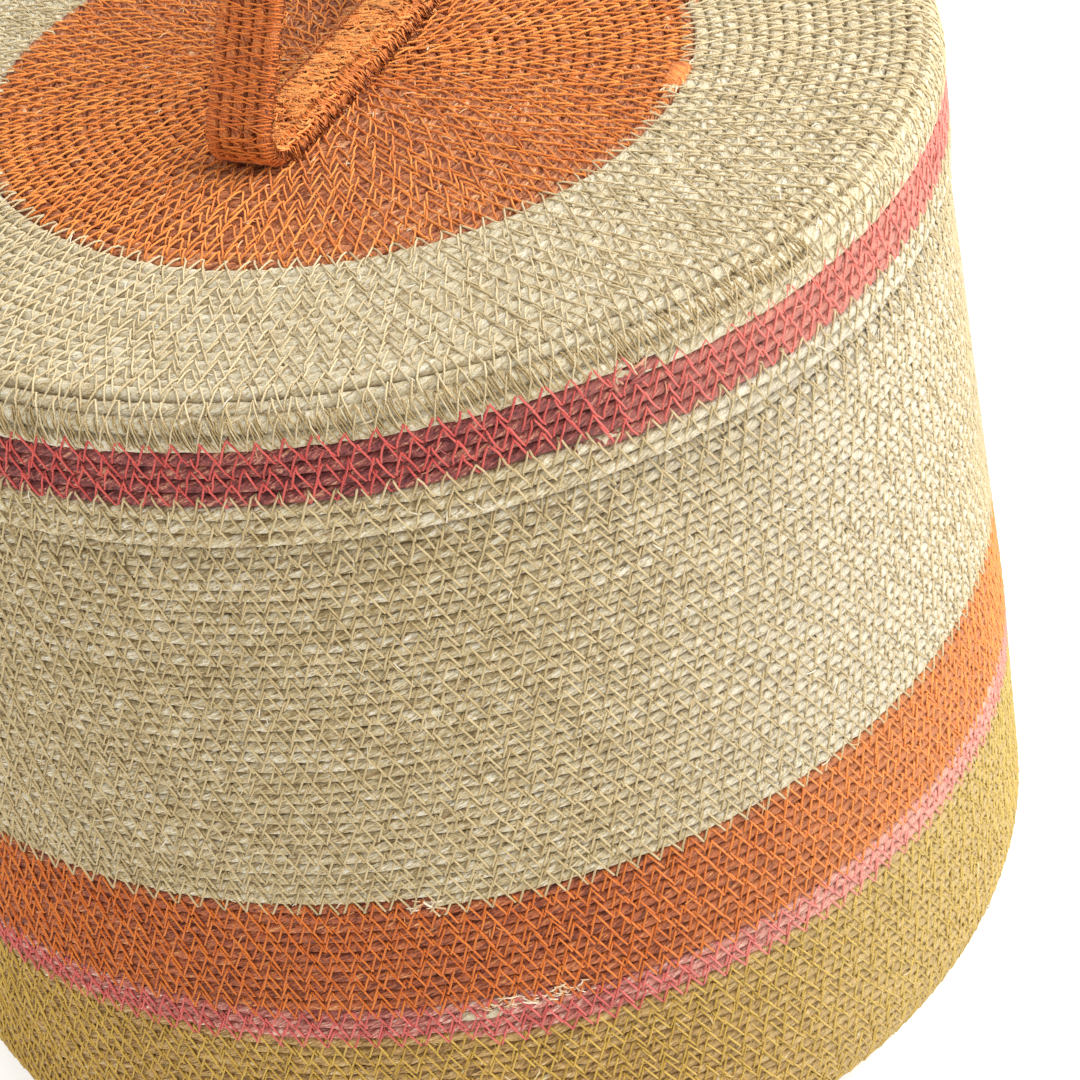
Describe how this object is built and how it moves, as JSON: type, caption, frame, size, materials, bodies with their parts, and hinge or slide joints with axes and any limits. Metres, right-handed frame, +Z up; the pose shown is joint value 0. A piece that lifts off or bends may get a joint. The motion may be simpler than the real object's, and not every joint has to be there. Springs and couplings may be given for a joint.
{
  "type": "lidded basket",
  "caption": "Round coiled-rope basket with striped wall, rounded floor edge and a lift-off lid that carries a flat loop handle.",
  "frame": {"origin": "on the floor under the middle of the basket, where it stands", "axes": "+Z up along the basket's axis, +X along the handle's length"},
  "size_m": [0.357, 0.357, 0.3829],
  "materials": {
    "natural_rope": "matte seagrass rope sewn with straw-coloured thread",
    "orange_rope": "matte dyed seagrass rope sewn with orange thread",
    "red_rope": "matte dyed seagrass rope sewn with coral thread",
    "pink_rope": "matte dyed seagrass rope sewn with pink thread",
    "mustard_rope": "matte dyed seagrass rope sewn with mustard thread"
  },
  "bodies": {
    "basket": {"mustard_base_coil": "mustard_rope", "pink_stripe_coil": "pink_rope", "orange_band_coil": "orange_rope", "natural_wall_coil": "natural_rope"},
    "lid": {"lid_orange_disc_coil": "orange_rope", "lid_natural_top_coil": "natural_rope", "lid_red_stripe_coil": "red_rope", "lid_natural_rim_coil": "natural_rope", "lid_handle_loop": "orange_rope"}
  },
  "joints": [
    {"name": "lid_lift", "type": "slide", "parent": "basket", "child": "lid", "axis": [0, 0, 1], "range_m": [0, 0.15]}
  ]
}
